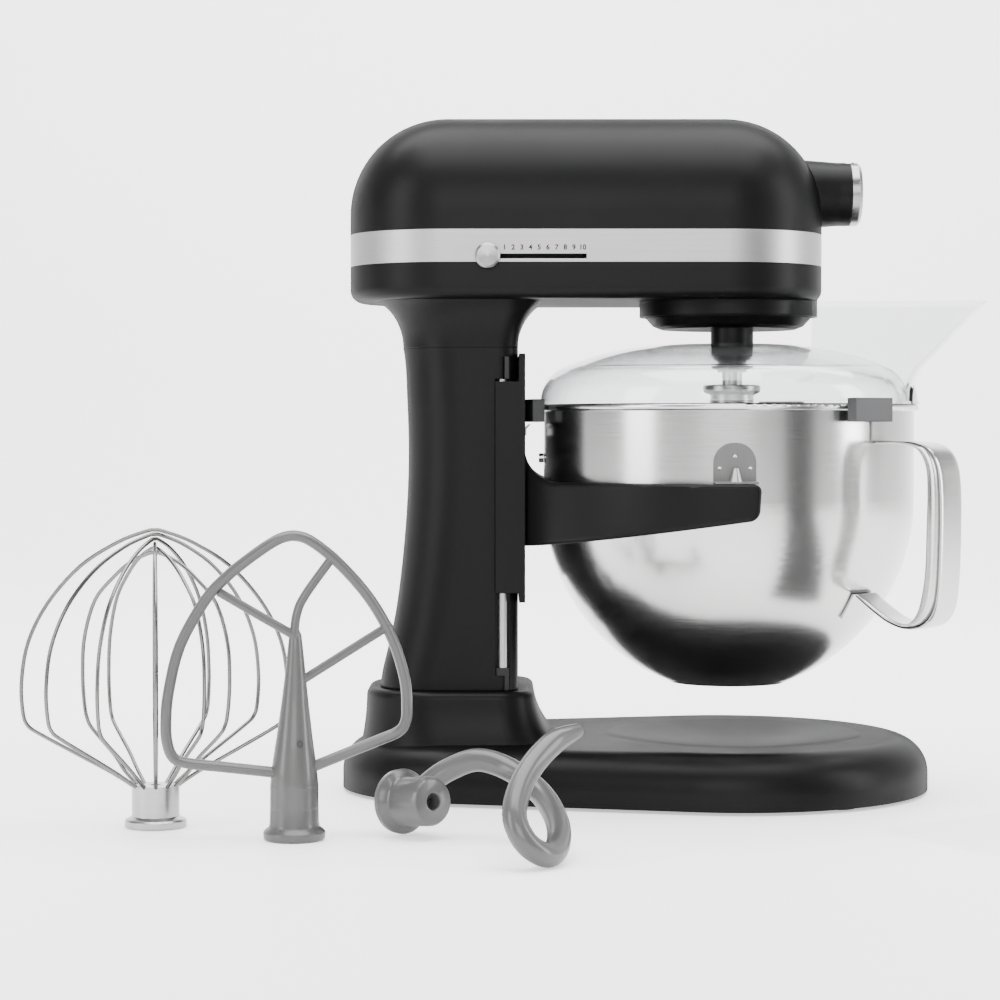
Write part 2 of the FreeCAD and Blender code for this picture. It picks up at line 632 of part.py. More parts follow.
def make_drive():
    """Motor, layshaft, crown wheel, planetary and power take-off."""
    high = size("hub_height")
    axis = size("motor_axis")
    keep(rod("motor_shaft", 4, 168, (-222, 0, axis), ALONG_X))
    keep(tube("armature_core", 19, 4, 46, (-160, 0, axis), ALONG_X))
    keep(tube("commutator", 12, 4, 16, (-184, 0, axis), ALONG_X))
    fan = [tube("fan_hub", 9, 4, 9, (-100, 0, axis), ALONG_X)]
    for i in range(9):
        blade = block(f"fan_blade_{i}", (-99, -0.8, 7), (-92, 0.8, 25))
        blade.Placement = Placement(Vector(-99, 0, axis), Rotation(Vector(1, 0, 0), 40 * i)) * Placement(
            Vector(0, -0.8, 7), Rotation())
        fan.append(blade)
    keep(fuse("cooling_fan", fan))
    keep(tube("stator", 31, 20, 48, (-161, 0, axis), ALONG_X))
    brushes = [block(f"brush_{i}", (-179, y, axis - 4), (-171, y + 16, axis + 4))
               for i, y in enumerate((-28.1, 12.1))]
    keep(group("motor_brushes", brushes))
    bearings = [tube("bearing_back", 10, "4 + run_gap", 7, (-205, 0, axis), ALONG_X),
                tube("bearing_front", 10, "4 + run_gap", 6, (-82, 0, axis), ALONG_X)]
    keep(group("motor_bearings", bearings))
    bracket = Part.makeBox(7, 44, 44, Vector(-205, -22, axis - 32.4))
    bracket = bracket.cut(Part.makeCylinder(10, 20, Vector(-210, 0, axis), Vector(1, 0, 0)))
    keep(shaped("motor_bracket", bracket))
    cradle = Part.makeBox(40, 40, 12, Vector(-157, -20, 308.05))
    cradle = cradle.cut(Part.makeCylinder(31, 60, Vector(-170, 0, axis), Vector(1, 0, 0)))
    keep(shaped("motor_cradle", cradle))

    teeth, small, module = 12, size("motor_module"), size("bevel_module")
    up_tooth = Rotation(Vector(0, 1, 0), 90)
    half_pitch = 180 / teeth
    keep(gear("motor_pinion", teeth, small, 10, 4, (-66, 0, axis), up_tooth * Rotation(UP, half_pitch)))
    keep(gear("layshaft_gear", int(size("layshaft_teeth")), small, 10, 5, (-66, 0, high), up_tooth))
    keep(rod("layshaft", 5, 48.5, (-82, 0, high), ALONG_X))
    keep(gear("layshaft_pinion", teeth, module, 6, 5, (-40.5, 0, high), up_tooth, tip=0.7, slack=0.6))
    keep(shaped("crown_wheel", crown_shape()))
    keep(rod("drive_shaft", 8, 62, (0, 0, 300.5)))
    ring = Part.makeCylinder(45.95, 8, Vector(0, 0, 0))
    tooth_room = gear_corners(int(size("ring_teeth")), size("ring_module"), 1.15, 0.8, -0.3)
    ring = ring.cut(Part.Face(Part.makePolygon(tooth_room + tooth_room[:1])).extrude(UP * 8))
    keep(shaped("ring_gear", ring, (0, 0, 303.2), Rotation(UP, 180 / size("ring_teeth"))))

    orbit = -size("orbit")
    corners = [("0", "disc_low + 3"), ("20", "disc_low + 1"), ("42", "disc_low"), ("47", "disc_low + 2"),
               ("drip_radius", "disc_low + 7"), ("drip_radius", "300.4"), ("0", "300.4")]
    disc = turned("carrier_disc", corners)
    sleeve = rod("carrier_sleeve", 13.1, 20, (0, orbit, 276.8))
    bore = rod("carrier_bore", 9.5, 40, (0, orbit, 270))
    keep(cut("planet_carrier", fuse("carrier_body", [disc, sleeve]), bore))
    keep(tube("beater_bush", 9.5, "shaft_radius + run_gap", 23.4, (0, orbit, 276.9)))
    pin_hole = rod("pin_hole", 1.9, 20, (-10, orbit, 243), ALONG_X)
    keep(cut("beater_shaft", rod("beater_rod", "shaft_radius", 77, (0, orbit, 234)), pin_hole))
    keep(gear("planet_pinion", int(size("planet_teeth")), size("ring_module"), 7.4, size("shaft_radius"),
              (0, orbit, 303.4), Rotation(UP, 90 + 15), slack=0.35))
    collar = [("shaft_radius", "265"), ("8.8", "265"), ("8.8", "267.7"), ("10", "267.8"), ("13", "271"),
              ("13", "276.4"), ("shaft_radius", "276.4")]
    keep(turned("shaft_collar", collar, (0, orbit, 0)))
    keep(rod("drive_pin", 1.9, 12, (-6, orbit, 243), ALONG_X))

    keep(rod("hub_shaft", 5, 15, (33.2, 0, high), ALONG_X))
    keep(gear("hub_pinion", teeth, module, 6, 5, (34.5, 0, high), up_tooth, tip=0.7, slack=0.6))
    square = padded("drive_square", round_rect(4, 4, 4, 0.5, 0.5), 5, (0, 0, 0))
    cup = cut("socket_drive", rod("socket_disc", 8, 8, (50, 0, high), ALONG_X), square)
    square.Placement = Placement(Vector(53.2, 0, high), ALONG_X)
    keep(cup, "drive_socket")
    liner = tube("liner_tube", 17.95, "socket_radius", 14.5, (58.5, 0, high), ALONG_X)
    keep(cut("hub_liner", liner, rod("liner_screw_hole", 3.05, 20, (62, 10, high), ALONG_Y)))


def crown_shape():
    """Crown wheel: radial tooth spaces in its upper face, for pinions that lie across it."""
    pitch_height = size("hub_height") - size("bevel_teeth") * size("bevel_module") / 2
    module = size("bevel_module")
    top = pitch_height + 0.8 * module
    root = pitch_height - 1.15 * module
    wheel = Part.makeCylinder(41.6, top - 350.5, Vector(0, 0, 350.5))
    wheel = wheel.cut(Part.makeCylinder(31.5, 20, Vector(0, 0, root)))
    wide = math.pi * module / 4 + 0.4
    lean = math.tan(math.radians(25))
    upper = wide + (top + 1 - pitch_height) * lean
    lower = wide - (pitch_height - root) * lean
    space = Part.makePolygon([Vector(25, -lower, root), Vector(25, lower, root), Vector(25, upper, top + 1),
                              Vector(25, -upper, top + 1), Vector(25, -lower, root)])
    tool = Part.Face(space).extrude(Vector(20, 0, 0))
    teeth = int(size("crown_teeth"))
    tools = []
    for i in range(teeth):
        one = tool.copy()
        one.rotate(Vector(0, 0, 0), UP, 360 * i / teeth)
        tools.append(one)
    return wheel.cut(tools).cut(Part.makeCylinder(8, 30, Vector(0, 0, 345)))


def make_hub_cover():
    """Hinged cap, its pin, and the thumb screw of the power hub."""
    high = size("hub_height")
    cap = turned("cap_disc", [("0", "0"), ("hub_radius", "0"), ("hub_radius", "4.4"),
                              ("hub_radius - 2", "cap_thick"), ("0", "cap_thick + 0.9")],
                 (size("hub_face") + 0.1, 0, high), ALONG_X)
    x, z = size("hinge_x"), size("hinge_z")
    gap = block("cap_gap", ("hub_face", -6.3, "hinge_z - 1.7"), ("hub_face + 2.9", 6.3, "hinge_z + 4"))
    knuckle = rod("cap_knuckle", 1.3, 6, (x, -3, z), ALONG_Y)
    web = block("cap_web", ("hinge_x", -3, "hinge_z - 2"), ("hinge_x + 2", 3, "hinge_z + 0.9"))
    hole = rod("cap_hole", "0.8 + run_gap", 8, (x, -4, z), ALONG_Y)
    body = fuse("cap_body", [cut("cap_notched", cap, gap), knuckle, web])
    keep(cut("hub_cover", body, hole))
    keep(rod("hub_cover_pin", 0.8, 12, (x, -6, z), ALONG_Y))
    screw = rod("screw_shank", 3, 8, (62, 15.8, high), ALONG_Y)
    knob = turned("screw_head", [("0", "0"), ("4", "0"), ("9", "3"), ("9", "10"), ("7.5", "11.5"), ("0", "11.5")],
                  (62, 22.2, high), ALONG_Y)
    keep(fuse("hub_thumb_screw", [screw, knob]))


def make_speed_control():
    """Speed knob on the band, its stem and slider, and the circuit board behind."""
    x, z = -size("knob_x"), size("knob_z")
    near = -size("head_half")
    face = Rotation(Vector(1, 0, 0), 90)
    keep(turned("speed_knob", [("0", "0"), ("knob_radius", "0"), ("knob_radius", "3.6"),
                               ("knob_radius - 1.4", "5"), ("0", "5.6")], (x, near - 0.5, z), face))
    mid = size("speed_slot_low + speed_slot_height / 2")
    keep(rod("speed_stem", 1.3, 12.5, (x, near + 12, mid), face))
    slider = block("slider_block", (x - 8, near + 12, mid - 5), (x + 8, near + 15.4, mid + 5))
    keep(slider, "speed_slider")
    keep(block("board", (-172, -50, 312), (-92, -48.4, 338)), "control_board")


# ---------------------------------------------------------------- bowl

def make_bowl():
    """Spun steel bowl with a rolled rim, its handle, side brackets and rear pin."""
    corners = [
        ("0", "bowl_low"), ("36", "bowl_low"), ("38", "bowl_low + bowl_wall", "bowl_curve", 1),
        ("bowl_radius", "bowl_waist"), ("bowl_radius", "rim_height - 2.12", "bead", 1),
        ("rim_radius + bead", "rim_height", "bead", 1), ("rim_radius", "rim_height + bead", "bead", 1),
        ("rim_radius - bead", "rim_height", "bead", 1), ("bowl_radius - bowl_wall", "rim_height - 1.26"),
        ("bowl_radius - bowl_wall", "bowl_waist", "bowl_curve - bowl_wall", -1),
        ("37.8", "bowl_low + 2.4"), ("36", "bowl_low + 1.3"), ("0", "bowl_low + 1.3"),
    ]
    keep(turned("bowl", corners))
    brackets = []
    for side in (-1, 1):
        y0, y1 = sorted((side * 115.74, side * 117.6))
        y2, y3 = sorted((side * 116, side * 133))
        face = [("-12.6", "0"), ("12.6", "0"), ("12.6", "12", "12", 1), ("0.6", "24"), ("-0.6", "24", "12", 1),
                ("-12.6", "12")]
        spot = (-size("pin_x"), y1, size("arm_top") + 0.1)
        plate = padded(f"bracket_plate_{side + 2}", face, "1.86", spot, Rotation(Vector(1, 0, 0), 90))
        flange = block(f"bracket_flange_{side + 2}", ("-pin_x - 12.6", y2, "arm_top + 0.1"),
                       ("-pin_x + 12.6", y3, "arm_top + 1.4"))
        hole = rod(f"bracket_hole_{side + 2}", 4.3, 10, (-size("pin_x"), side * size("pin_offset"), 190))
        brackets.append(cut(f"bracket_{side + 2}", fuse(f"bracket_body_{side + 2}", [plate, flange]), hole))
    keep(group("bowl_brackets", brackets))
    keep(rod("rear_stud", 3, 3, (-118.8, 0, 208), ALONG_X), "bowl_rear_stud")
    outer = [(104.2, 125.4), (117, 116.5), (128, 111), (140, 107.6), (152, 109), (160.5, 117), (164, 132),
             (165.5, 160), (165.5, 188), (163.5, 204), (158, 213.6), (148, 218.2), (134, 219), (118.6, 219)]
    inner = [(118.6, 217.4), (134, 217.2), (145, 215.2), (152, 207), (153.6, 190), (152.8, 160), (150.8, 132),
             (147, 118), (140, 110.8), (129, 113), (118.4, 118.4), (105.6, 127)]
    edges = []
    for line in (outer, inner):
        curve = Part.BSplineCurve()
        curve.interpolate([Vector(r, 0, z) for r, z in line])
        edges.append(curve.toShape())
    start = Vector(outer[0][0], 0, outer[0][1])
    end = Vector(outer[-1][0], 0, outer[-1][1])
    edges.insert(1, Part.LineSegment(end, Vector(inner[0][0], 0, inner[0][1])).toShape())
    edges.append(Part.LineSegment(Vector(inner[-1][0], 0, inner[-1][1]), start).toShape())
    strap = Part.Face(Part.Wire(edges)).extrude(Vector(0, 22, 0))
    strap.translate(Vector(0, -11, 0))
    upper_tab = Part.makeBox(2.95, 22, 14, Vector(115.75, -11, 217.4))
    lower_tab = Part.makeBox(2.6, 22, 18, Vector(0, -11, -18))
    lower_tab.rotate(Vector(0, 0, 0), Vector(0, 1, 0), 31)
    lower_tab.translate(Vector(103.4, 0, 127.2))
    handle = strap.fuse([upper_tab, lower_tab])
    keep(shaped("bowl_handle", handle, (0, 0, 0), Rotation(UP, -42.5)))


def shield_corners(opening):
    """Outline of the clear dome: flange, wall, shoulder and crown."""
    return [("119.4", "shield_flange"), ("119.4", "shield_flange + 1.4"), ("118", "shield_flange + 1.5", 23.5, 1),
            ("104", "264.5", 167, 1), (opening, "278.2")]


def make_shield():
    """Clear pouring shield: a dome with an open middle and a chute at the front."""
    shell = shield_corners("shield_opening") + [
        ("shield_opening", "278.2 - shield_wall", 165.2, -1), ("103.2", "264.5 - shield_wall", 21.7, -1),
        ("116.2", "shield_flange + 1.5"), ("116.2", "shield_flange")]
    dome = turned("dome_shell", shell)
    solid = turned("dome_solid", shield_corners("shield_opening") + [("0", "278.2"), ("0", "shield_flange")])
    doc.recompute()
    half, wall, top = size("chute_half"), size("shield_wall"), size("chute_top")
    turn = size("chute_turn")

    def channel(front, width, back, low):
        """A prism of the chute's side view."""
        curve = Part.BSplineCurve()
        curve.interpolate([Vector(x - front, -width, z) for x, z in
                           ((112.8, 244), (113.6, 252), (117, 261), (126.4, 271.6), (139, 285), (157.3, top))])
        foot = Vector(back, -width, low)
        heel = Vector(112.8 - front, -width, low)
        first, last = curve.StartPoint, curve.EndPoint
        rear = Vector(back, -width, top)
        edges = [curve.toShape(), Part.LineSegment(last, rear).toShape(), Part.LineSegment(rear, foot).toShape(),
                 Part.LineSegment(foot, heel).toShape(), Part.LineSegment(heel, first).toShape()]
        prism = Part.Face(Part.Wire(edges)).extrude(Vector(0, 2 * width, 0))
        prism.rotate(Vector(0, 0, 0), UP, turn)
        return prism

    outside = channel(0, half, 52, 241.5)
    inside = channel(wall * 1.25, half - wall, 40, 236)
    above = Part.makeBox(400, 400, 12, Vector(-200, -200, top - 0.02))
    walls = outside.cut(inside).cut(above).cut(solid.Shape)
    top_face = dome.Shape.cut(inside)
    keep(shaped("pouring_shield", top_face.fuse(walls).removeSplitter()))
    for name in (dome.Name, solid.Name):
        helper = doc.getObject(name)
        helper.removeObjectsFromDocument()
        doc.removeObject(name)

    clips = []
    for i, angle in enumerate((-52, 68, -172)):
        corners = [("119.7", "230.4"), ("127.4", "230.4"), ("127.4", "244.6"), ("119.7", "244.6")]
        clips.append(turned(f"rim_clip_{i}", corners, (0, 0, 0), Rotation(UP, angle - 7), 14))
    keep(group("rim_clips", clips))


# ---------------------------------------------------------------- tools

def tool_hub(name, height, turn, spot):
    """Socket end of a tool: a flange, a barrel and the bore for the beater shaft."""
    corners = [("shaft_radius + 0.25", "0"), ("hub_flange - 0.8", "0"), ("hub_flange", "0.8"), ("hub_flange", "4"),
               ("hub_flange - 1", "5"), ("hub_barrel", "6.5"), ("hub_barrel", height), ("3", height),
               ("3", f"{height} - 3"), ("shaft_radius + 0.25", f"{height} - 3")]
    return turned(name, corners, spot, turn)


def whisk_loops(count):
    """Wire loops of a whip, standing on its socket, each one nested under the last."""
    loops = []
    for i in range(count):
        drop = 2.6 * i
        side = [(8.5, 20 + 0.1 * i), (40 - drop, 40), (72 - 2.2 * drop, 56), (75.5 - 2 * drop, 84),
                (62 - 1.6 * drop, 124), (36 - drop, 154 - drop), (0, size("whisk_height") - 1 - drop)]
        points = [(-r, 0, z) for r, z in side] + [(r, 0, z) for r, z in side[-2::-1]]
        loop = bent_rod(points, size("wire_radius"))
        loop.rotate(Vector(0, 0, 0), UP, 180 * i / count + 8)
        loops.append(loop)
    return loops


def make_whisks():
    """One whip on the table and one on the beater shaft, inside the bowl."""
    wires = Part.makeCompound(whisk_loops(6))
    spot = (-339, -163, 0)
    keep(tool_hub("whisk_hub", 24, UPRIGHT, spot))
    keep(shaped("whisk_wires", wires, spot))
    flipped = Rotation(Vector(1, 0, 0), 180)
    spot = (0, -size("orbit"), 254.3)
    keep(tool_hub("fitted_whisk_hub", 24, flipped, spot))
    keep(shaped("fitted_whisk_wires", wires, spot, flipped))


def make_beater():
    """Flat beater standing on its socket: heart-shaped frame, stem and three ribs."""
    frame = [(-8, 37), (-58, 43), (-70, 56), (-68, 84), (-50, 131), (-26, 154), (-6, 167), (4, 167), (26, 152),
             (44, 130), (60, 96), (62.5, 66), (54, 56), (9, 39)]
    ring = bent_rod([(x, 0, z) for x, z in frame], size("frame_rod"))
    stem = Part.makeCone(13, 3.6, 88, Vector(0, 0, 27), UP)
    ribs = []
    for a, b in (((0, 111), (-41, 137)), ((2, 86), (54, 118)), ((0, 110), (6, 134)), ((6, 134), (21.5, 156))):
        start = Vector(a[0], 0, a[1])
        way = Vector(b[0], 0, b[1]) - start
        ribs.append(Part.makeCylinder(3.2, way.Length, start, way))
    barrel = Part.makeCylinder(size("hub_barrel"), 28, Vector(0, 0, 0))
    flange = Part.makeCylinder(size("hub_flange"), 6, Vector(0, 0, 0))
    socket = Part.makeCylinder(size("shaft_radius") + 0.25, 24, Vector(0, 0, 0))
    body = flange.fuse([barrel, stem, ring] + ribs).cut(socket)
    keep(shaped("flat_beater", body, (-256.5, -210, 0), Rotation(UP, 8)))


def make_hook():
    """Spiral dough hook lying on the table."""
    route = [(-190, -203, 22), (-171, -203, 38), (-155, -205, 43.5), (-137, -212, 38.5), (-121, -232, 28.4),
             (-113, -262, 18), (-113, -288, 9.5), (-119, -305, 6.9), (-129.5, -312, 14), (-135.7, -308, 26.5),
             (-133.3, -296, 39), (-126, -282, 50.6), (-114.5, -268, 60.8), (-101.3, -255, 65.8)]
    bar = bent_rod(route, size("hook_rod"))
    way = Vector(0.64, -0.76, 0.1)
    foot = Vector(-200, -190, 18.4)
    flange = Part.makeCylinder(size("hub_flange"), 5, foot, way)
    barrel = Part.makeCylinder(size("hub_barrel"), 32, foot, way)
    socket = Part.makeCylinder(size("shaft_radius") + 0.25, 18, foot, way)
    keep(shaped("dough_hook", flange.fuse([barrel, bar]).cut(socket)))


# ---------------------------------------------------------------- build

def check_and_write():
    """Stop on any failed object or bad solid, then write one STEP file for each node."""
    doc.recompute()
    for item in doc.Objects:
        if "Invalid" in item.State or "Error" in item.State:
            raise RuntimeError(f"{item.Label} did not compute: {item.State}")
    names = set()
    for piece in PIECES:
        shape = piece.Shape
        if shape.isNull() or not shape.isValid() or not shape.Solids:
            raise RuntimeError(f"{piece.Label} has no valid solid")
        if piece.Label in names:
            raise RuntimeError(f"two pieces are called {piece.Label}")
        names.add(piece.Label)
    os.makedirs("parts", exist_ok=True)
    for piece in PIECES:
        piece.Shape.exportStep(f"parts/{piece.Label}.step")
        print(piece.Label, len(piece.Shape.Solids), round(piece.Shape.Volume, 1))


make_base()
make_feet()
make_underplate()
make_column()
make_rails()
make_yoke()
make_yoke_fittings()
make_lever()
make_head()
make_frame()
make_drive()
make_hub_cover()
make_speed_control()
make_bowl()
make_shield()
make_whisks()
make_beater()
make_hook()
check_and_write()
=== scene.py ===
"""Looks, light and camera for the stand mixer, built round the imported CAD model. Metres, +X to the front."""

import json
import math

import bmesh
import bpy
from mathutils import Matrix, Vector


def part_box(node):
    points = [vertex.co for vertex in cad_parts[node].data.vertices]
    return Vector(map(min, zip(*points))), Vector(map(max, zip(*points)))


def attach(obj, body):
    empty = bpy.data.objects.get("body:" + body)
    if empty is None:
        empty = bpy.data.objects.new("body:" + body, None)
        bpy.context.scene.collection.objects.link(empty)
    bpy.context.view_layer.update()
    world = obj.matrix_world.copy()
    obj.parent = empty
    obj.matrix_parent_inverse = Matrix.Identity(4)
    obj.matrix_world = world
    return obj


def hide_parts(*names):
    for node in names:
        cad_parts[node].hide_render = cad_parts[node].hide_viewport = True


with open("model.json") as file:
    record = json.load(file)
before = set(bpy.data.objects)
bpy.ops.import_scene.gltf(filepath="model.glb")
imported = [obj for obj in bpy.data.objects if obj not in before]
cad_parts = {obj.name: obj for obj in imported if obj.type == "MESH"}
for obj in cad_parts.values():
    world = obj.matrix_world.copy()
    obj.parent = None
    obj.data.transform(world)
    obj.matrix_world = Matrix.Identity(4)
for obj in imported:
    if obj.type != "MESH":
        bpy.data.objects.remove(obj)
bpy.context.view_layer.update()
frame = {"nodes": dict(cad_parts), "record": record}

MM = 0.001
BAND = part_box("trim_band")
SLOT_FACE = BAND[0][1]
ORBIT = 28 * MM
LOOSE_WHISK = (-339 * MM, -163 * MM, 0)
FITTED_WHISK = (0, -ORBIT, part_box("fitted_whisk_hub")[1][2])
BEATER = (-256.5 * MM, -210 * MM, 0)
BEATER_TURN = math.radians(8)
HANDLE_TURN = math.radians(-42.5)
FLAG_TURN = math.radians(38 + 180)


# ---------------------------------------------------------------- materials

def start_material(name):
    """A new node material and its shader."""
    material = bpy.data.materials.new(name)
    material.use_nodes = True
    nodes = material.node_tree.nodes
    return material, nodes, material.node_tree.links, nodes["Principled BSDF"]


def grain(nodes, links, stretch, scale, detail=4.0):
    """Noise in the object's own coordinates, stretched by a factor on each axis."""
    place = nodes.new("ShaderNodeTexCoord")
    mapping = nodes.new("ShaderNodeMapping")
    mapping.inputs["Scale"].default_value = stretch
    links.new(place.outputs["Object"], mapping.inputs["Vector"])
    noise = nodes.new("ShaderNodeTexNoise")
    noise.inputs["Scale"].default_value = scale
    noise.inputs["Detail"].default_value = detail
    links.new(mapping.outputs["Vector"], noise.inputs["Vector"])
    return noise


def spread(nodes, links, source, low, high):
    """A texture's 0.3 to 0.7 mapped onto low to high."""
    ramp = nodes.new("ShaderNodeMapRange")
    ramp.inputs["From Min"].default_value = 0.3
    ramp.inputs["From Max"].default_value = 0.7
    ramp.inputs["To Min"].default_value = low
    ramp.inputs["To Max"].default_value = high
    links.new(source, ramp.inputs["Value"])
    return ramp.outputs["Result"]


def soften(nodes, links, shader, height, strength, distance, edge=0.0):
    """Bump from a height, over edges that are rounded by a small radius."""
    bump = nodes.new("ShaderNodeBump")
    bump.inputs["Strength"].default_value = strength
    bump.inputs["Distance"].default_value = distance
    links.new(height, bump.inputs["Height"])
    if edge:
        bevel = nodes.new("ShaderNodeBevel")
        bevel.samples = 6
        bevel.inputs["Radius"].default_value = edge
        links.new(bevel.outputs["Normal"], bump.inputs["Normal"])
    links.new(bump.outputs["Normal"], shader.inputs["Normal"])


def paint(name, colour, rough, edge=0.8 * MM, coat=0.0, sheen=0.5):
    """Matt-edged coated or moulded surface with a faint orange-peel grain."""
    material, nodes, links, shader = start_material(name)
    shader.inputs["Base Color"].default_value = (*colour, 1)
    shader.inputs["Coat Weight"].default_value = coat
    facing = nodes.new("ShaderNodeLayerWeight")
    fade = nodes.new("ShaderNodeMapRange")
    for key, value in (("From Min", 0.4), ("From Max", 0.9), ("To Min", sheen), ("To Max", sheen * 0.035)):
        fade.inputs[key].default_value = value
    links.new(facing.outputs["Facing"], fade.inputs["Value"])
    links.new(fade.outputs["Result"], shader.inputs["Specular IOR Level"])
    fine = grain(nodes, links, (1, 1, 1), 900)
    broad = grain(nodes, links, (1, 1, 1), 14, 6)
    roughness = spread(nodes, links, broad.outputs["Fac"], rough - 0.035, rough + 0.035)
    links.new(roughness, shader.inputs["Roughness"])
    soften(nodes, links, shader, fine.outputs["Fac"], 0.12, 0.05 * MM, edge)
    return material


def streaks(nodes, links, shader, lines, colour, darkest, lightest):
    """Base colour between a darker and a lighter shade of one colour, along brushed lines."""
    shade = nodes.new("ShaderNodeMix")
    shade.data_type = "RGBA"
    shade.inputs[6].default_value = (*[c * darkest for c in colour], 1)
    shade.inputs[7].default_value = (*[min(1.0, c * lightest) for c in colour], 1)
    links.new(lines.outputs["Fac"], shade.inputs[0])
    links.new(shade.outputs[2], shader.inputs["Base Color"])


def brushed(name, colour, rough, stretch, scale, depth=0.25, edge=0.4 * MM, anisotropy=0.5):
    """Metal with fine brushing along one direction."""
    material, nodes, links, shader = start_material(name)
    shader.inputs["Metallic"].default_value = 1.0
    shader.inputs["Anisotropic"].default_value = anisotropy
    lines = grain(nodes, links, stretch, scale, 6)
    smudge = grain(nodes, links, (1, 1, 1), 9, 3)
    streaks(nodes, links, shader, lines, colour, 0.86, 1.06)
    roughness = spread(nodes, links, smudge.outputs["Fac"], rough - 0.04, rough + 0.05)
    links.new(roughness, shader.inputs["Roughness"])
    soften(nodes, links, shader, lines.outputs["Fac"], depth, 0.03 * MM, edge)
    return material


def spun(name, colour, rough):
    """Metal brushed round the Z axis, as a spun and polished bowl is."""
    material, nodes, links, shader = start_material(name)
    shader.inputs["Metallic"].default_value = 1.0
    place = nodes.new("ShaderNodeTexCoord")
    split = nodes.new("ShaderNodeSeparateXYZ")
    links.new(place.outputs["Object"], split.inputs["Vector"])
    angle = nodes.new("ShaderNodeMath")
    angle.operation = "ARCTAN2"
    links.new(split.outputs["Y"], angle.inputs[0])
    links.new(split.outputs["X"], angle.inputs[1])
    join = nodes.new("ShaderNodeCombineXYZ")
    links.new(angle.outputs[0], join.inputs["X"])
    links.new(split.outputs["Z"], join.inputs["Z"])
    mapping = nodes.new("ShaderNodeMapping")
    mapping.inputs["Scale"].default_value = (1.2, 1, 900)
    links.new(join.outputs["Vector"], mapping.inputs["Vector"])
    lines = nodes.new("ShaderNodeTexNoise")
    lines.inputs["Scale"].default_value = 2.0
    lines.inputs["Detail"].default_value = 5
    links.new(mapping.outputs["Vector"], lines.inputs["Vector"])
    streaks(nodes, links, shader, lines, colour, 0.9, 1.05)
    roughness = spread(nodes, links, lines.outputs["Fac"], rough - 0.03, rough + 0.05)
    links.new(roughness, shader.inputs["Roughness"])
    soften(nodes, links, shader, lines.outputs["Fac"], 0.2, 0.02 * MM)
    return material


def clear(name):
    """Clear moulded plastic, its base colour darkened towards its edges as painted edge shade."""
    material, nodes, links, shader = start_material(name)
    # Base colour goes from pale to dark as the surface turns away from the view: painted shade along the plastic's
    # edges.
    facing = nodes.new("ShaderNodeLayerWeight")
    edge = nodes.new("ShaderNodeValToRGB")
    edge.color_ramp.elements[0].position = 0.45
    edge.color_ramp.elements[0].color = (0.9, 0.908, 0.915, 1)
    edge.color_ramp.elements[1].position = 1.0
    edge.color_ramp.elements[1].color = (0.2, 0.21, 0.22, 1)
    links.new(facing.outputs["Facing"], edge.inputs["Fac"])
    links.new(edge.outputs["Color"], shader.inputs["Base Color"])
    shader.inputs["Transmission Weight"].default_value = 1.0
    shader.inputs["IOR"].default_value = 1.5
    haze = grain(nodes, links, (1, 1, 1), 20, 3)
    links.new(spread(nodes, links, haze.outputs["Fac"], 0.03, 0.09), shader.inputs["Roughness"])
    return material


BLACK = (0.0026, 0.0026, 0.0027)
LOOKS = {
    "satin_black": paint("satin black", BLACK, 0.4, 1.0 * MM, sheen=0.11),
    "trim_steel": brushed("trim steel", (0.39, 0.39, 0.388), 0.36, (6, 60, 900), 1.6),
    "bowl_steel": spun("bowl steel", (0.56, 0.56, 0.555), 0.2),
    "clear_plastic": clear("clear plastic"),
    "soft_grip": paint("soft grey grip", (0.045, 0.045, 0.047), 0.5, 1.6 * MM, sheen=0.35),
    "rubber": paint("rubber", (0.02, 0.02, 0.02), 0.7),
    "steel": brushed("steel", (0.4, 0.4, 0.4), 0.34, (900, 900, 30), 1.2),
    "gear_steel": brushed("gear steel", (0.40, 0.40, 0.41), 0.38, (300, 300, 60), 1.5),
    "bronze": brushed("bronze", (0.56, 0.38, 0.18), 0.35, (300, 300, 60), 1.5),
    "carbon": paint("carbon", (0.03, 0.03, 0.03), 0.6, 0),
    "dark_plastic": paint("dark plastic", (0.006, 0.006, 0.006), 0.34, 0.6 * MM, sheen=0.25),
    "silver_trim": brushed("silver trim", (0.3, 0.3, 0.298), 0.27, (500, 30, 500), 1.4),
    "cast_alloy": brushed("machined alloy", (0.36, 0.36, 0.358), 0.26, (60, 60, 700), 1.4),
    "board_green": paint("board green", (0.004, 0.016, 0.007), 0.5, 0),
    "collar_grey": paint("collar grey", (0.2, 0.2, 0.203), 0.4),
    "wire_steel": brushed("wire steel", (0.16, 0.16, 0.158), 0.24, (300, 300, 300), 1.2, 0.08, 0),
    "plate_steel": brushed("plate steel", (0.15, 0.15, 0.149), 0.4, (900, 900, 30), 1.2),
    "coated_grey": paint("coated grey", (0.062, 0.062, 0.0615), 0.32, 1.2 * MM, 0.2, 0.4),
}
NODE_LOOKS = {"bowl_brackets": "plate_steel"}
record_slots = {part["node"]: part["material_slot"] for part in frame["record"]["subparts"]}


def smooth(piece, angle=30):
    """Smooth shading with sharp edges kept."""
    if piece.type != "MESH":
        return
    for face in piece.data.polygons:
        face.use_smooth = True
    limit = math.radians(angle)
    mesh = bmesh.new()
    mesh.from_mesh(piece.data)
    for edge in mesh.edges:
        if len(edge.link_faces) == 2 and edge.calc_face_angle(0) > limit:
            edge.smooth = False
    mesh.to_mesh(piece.data)
    mesh.free()


for node_name, node in frame["nodes"].items():
    if node.type != "MESH":
        continue
    node.data.materials.clear()
    node.data.materials.append(LOOKS[NODE_LOOKS.get(node_name, record_slots[node_name])])


# ---------------------------------------------------------------- geometry helpers

